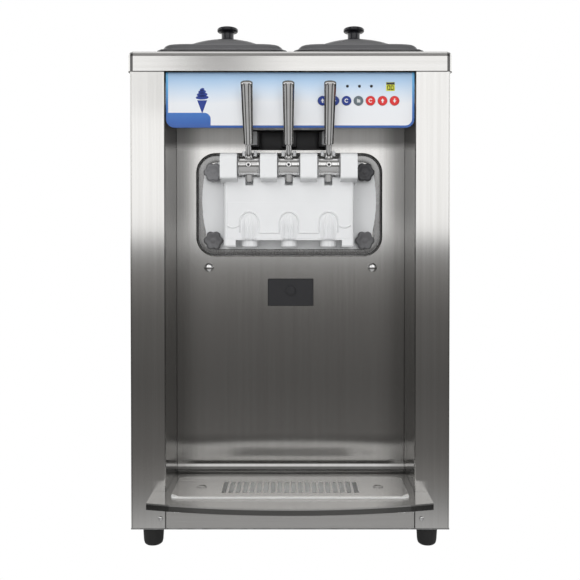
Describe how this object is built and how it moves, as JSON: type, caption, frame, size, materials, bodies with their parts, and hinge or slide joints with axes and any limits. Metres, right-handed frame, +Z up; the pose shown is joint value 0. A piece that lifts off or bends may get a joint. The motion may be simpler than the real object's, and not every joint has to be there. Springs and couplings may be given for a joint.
{
  "type": "soft serve machine",
  "caption": "Countertop twin-twist soft serve freezer with draw handles, a dispensing door, domed hopper lids, a drip shelf with a perforated cover and rubber feet.",
  "frame": {"origin": "on the surface that the machine stands on, at the middle of its footprint, the shelf's nose included", "axes": "+Z up, -Y towards the user, +X to the user's right"},
  "size_m": [0.552, 0.727, 0.9311],
  "materials": {
    "brushed_steel": "brushed stainless sheet, satin",
    "galvanised_steel": "galvanised sheet, dull",
    "polished_steel": "polished stainless steel",
    "white_plastic": "white food-grade plastic, semi-gloss",
    "knob_plastic": "dark grey moulded plastic",
    "lid_plastic": "dark grey plastic with a soft sheen",
    "black_plastic": "black moulded plastic",
    "rubber": "black rubber",
    "printed_fascia": "printed polyester film, light blue fading to white",
    "navy_button": "navy printed key",
    "grey_button": "grey printed key",
    "red_button": "red printed key",
    "display_window": "yellow two-digit display",
    "lamp_lens": "black lamp lens, unlit",
    "circuit_board": "green circuit board",
    "black_enamel": "black enamel",
    "aluminium_fins": "bare aluminium fins"
  },
  "bodies": {
    "cabinet": {"base_pan": "galvanised_steel", "left_side_panel": "brushed_steel", "right_side_panel": "brushed_steel", "rear_panel": "brushed_steel", "recess_back_panel": "brushed_steel", "lower_front_panel": "brushed_steel", "top_cover": "brushed_steel", "drip_shelf": "brushed_steel", "control_fascia": "printed_fascia", "control_housing": "galvanised_steel", "control_board": "circuit_board", "display_window": "display_window", "indicator_strip": "lamp_lens", "door_bezel": "brushed_steel", "dispensing_door": "white_plastic", "handle_pivot_pin": "polished_steel", "star_nozzle_left": "white_plastic", "star_nozzle_centre": "white_plastic", "star_nozzle_right": "white_plastic", "freezer_block": "polished_steel", "gear_motor_left": "black_enamel", "gear_motor_right": "black_enamel", "hopper_left": "polished_steel", "hopper_right": "polished_steel", "feed_tube_left": "polished_steel", "feed_tube_right": "polished_steel", "compressor": "black_enamel", "condenser": "aluminium_fins", "foot_front_left": "rubber", "foot_front_right": "rubber", "foot_rear_left": "rubber", "foot_rear_right": "rubber", "cord_gland": "black_plastic"},
    "draw_handle_left": {"draw_handle_left": "polished_steel"},
    "draw_valve_left": {"draw_valve_left": "white_plastic"},
    "draw_handle_centre": {"draw_handle_centre": "polished_steel"},
    "draw_valve_centre": {"draw_valve_centre": "white_plastic"},
    "draw_handle_right": {"draw_handle_right": "polished_steel"},
    "draw_valve_right": {"draw_valve_right": "white_plastic"},
    "hopper_lid_left": {"hopper_lid_left": "lid_plastic", "lid_knob_left": "black_plastic"},
    "beater_left": {"beater_left": "polished_steel"},
    "door_knob_upper_left": {"door_knob_upper_left": "knob_plastic"},
    "door_knob_lower_left": {"door_knob_lower_left": "knob_plastic"},
    "hopper_lid_right": {"hopper_lid_right": "lid_plastic", "lid_knob_right": "black_plastic"},
    "beater_right": {"beater_right": "polished_steel"},
    "door_knob_upper_right": {"door_knob_upper_right": "knob_plastic"},
    "door_knob_lower_right": {"door_knob_lower_right": "knob_plastic"},
    "condenser_fan": {"condenser_fan": "black_plastic"},
    "drip_pan": {"drip_pan": "white_plastic"},
    "drip_cover": {"drip_cover": "brushed_steel"},
    "leak_drawer": {"leak_drawer": "black_plastic"},
    "button_1": {"button_1": "navy_button"},
    "button_2": {"button_2": "navy_button"},
    "button_3": {"button_3": "navy_button"},
    "button_4": {"button_4": "grey_button"},
    "button_5": {"button_5": "red_button"},
    "button_6": {"button_6": "red_button"},
    "button_7": {"button_7": "red_button"}
  },
  "joints": [
    {"name": "draw_handle_left_pull", "type": "hinge", "parent": "cabinet", "child": "draw_handle_left", "pos_m": [-0.0715, -0.2495, 0.655], "axis": [1, 0, 0], "range_deg": [0, 50]},
    {"name": "draw_valve_left_lift", "type": "slide", "parent": "cabinet", "child": "draw_valve_left", "axis": [0, 0, 1], "range_m": [0, 0.02]},
    {"name": "draw_handle_centre_pull", "type": "hinge", "parent": "cabinet", "child": "draw_handle_centre", "pos_m": [-0.0025, -0.2495, 0.655], "axis": [1, 0, 0], "range_deg": [0, 50]},
    {"name": "draw_valve_centre_lift", "type": "slide", "parent": "cabinet", "child": "draw_valve_centre", "axis": [0, 0, 1], "range_m": [0, 0.02]},
    {"name": "draw_handle_right_pull", "type": "hinge", "parent": "cabinet", "child": "draw_handle_right", "pos_m": [0.0665, -0.2495, 0.655], "axis": [1, 0, 0], "range_deg": [0, 50]},
    {"name": "draw_valve_right_lift", "type": "slide", "parent": "cabinet", "child": "draw_valve_right", "axis": [0, 0, 1], "range_m": [0, 0.02]},
    {"name": "hopper_lid_left_lift", "type": "slide", "parent": "cabinet", "child": "hopper_lid_left", "axis": [0, 0, 1], "range_m": [0, 0.12]},
    {"name": "beater_left_spin", "type": "hinge", "parent": "cabinet", "child": "beater_left", "pos_m": [-0.0715, 0, 0.585], "axis": [0, 1, 0], "continuous": true},
    {"name": "door_knob_upper_left_turn", "type": "hinge", "parent": "cabinet", "child": "door_knob_upper_left", "pos_m": [-0.1395, -0.1776, 0.649], "axis": [0, -1, 0], "continuous": true},
    {"name": "door_knob_lower_left_turn", "type": "hinge", "parent": "cabinet", "child": "door_knob_lower_left", "pos_m": [-0.1395, -0.1776, 0.5255], "axis": [0, -1, 0], "continuous": true},
    {"name": "hopper_lid_right_lift", "type": "slide", "parent": "cabinet", "child": "hopper_lid_right", "axis": [0, 0, 1], "range_m": [0, 0.12]},
    {"name": "beater_right_spin", "type": "hinge", "parent": "cabinet", "child": "beater_right", "pos_m": [0.0665, 0, 0.585], "axis": [0, 1, 0], "continuous": true},
    {"name": "door_knob_upper_right_turn", "type": "hinge", "parent": "cabinet", "child": "door_knob_upper_right", "pos_m": [0.1345, -0.1776, 0.649], "axis": [0, -1, 0], "continuous": true},
    {"name": "door_knob_lower_right_turn", "type": "hinge", "parent": "cabinet", "child": "door_knob_lower_right", "pos_m": [0.1345, -0.1776, 0.5255], "axis": [0, -1, 0], "continuous": true},
    {"name": "condenser_fan_spin", "type": "hinge", "parent": "cabinet", "child": "condenser_fan", "pos_m": [0, 0.276, 0.205], "axis": [0, 1, 0], "continuous": true},
    {"name": "drip_pan_lift", "type": "slide", "parent": "cabinet", "child": "drip_pan", "axis": [0, 0, 1], "range_m": [0, 0.12]},
    {"name": "drip_cover_lift", "type": "slide", "parent": "drip_pan", "child": "drip_cover", "axis": [0, 0, 1], "range_m": [0, 0.1]},
    {"name": "leak_drawer_slide", "type": "slide", "parent": "cabinet", "child": "leak_drawer", "axis": [0, -1, 0], "range_m": [0, 0.12]},
    {"name": "button_1_press", "type": "slide", "parent": "cabinet", "child": "button_1", "axis": [0, 1, 0], "range_m": [0, 0.001], "stiffness_N_per_m": 400},
    {"name": "button_2_press", "type": "slide", "parent": "cabinet", "child": "button_2", "axis": [0, 1, 0], "range_m": [0, 0.001], "stiffness_N_per_m": 400},
    {"name": "button_3_press", "type": "slide", "parent": "cabinet", "child": "button_3", "axis": [0, 1, 0], "range_m": [0, 0.001], "stiffness_N_per_m": 400},
    {"name": "button_4_press", "type": "slide", "parent": "cabinet", "child": "button_4", "axis": [0, 1, 0], "range_m": [0, 0.001], "stiffness_N_per_m": 400},
    {"name": "button_5_press", "type": "slide", "parent": "cabinet", "child": "button_5", "axis": [0, 1, 0], "range_m": [0, 0.001], "stiffness_N_per_m": 400},
    {"name": "button_6_press", "type": "slide", "parent": "cabinet", "child": "button_6", "axis": [0, 1, 0], "range_m": [0, 0.001], "stiffness_N_per_m": 400},
    {"name": "button_7_press", "type": "slide", "parent": "cabinet", "child": "button_7", "axis": [0, 1, 0], "range_m": [0, 0.001], "stiffness_N_per_m": 400}
  ],
  "couplings": [
    {"joint": "draw_valve_left_lift", "follows": "draw_handle_left_pull", "m_per_rad": 0.0226},
    {"joint": "draw_valve_centre_lift", "follows": "draw_handle_centre_pull", "m_per_rad": 0.0226},
    {"joint": "draw_valve_right_lift", "follows": "draw_handle_right_pull", "m_per_rad": 0.0226}
  ]
}
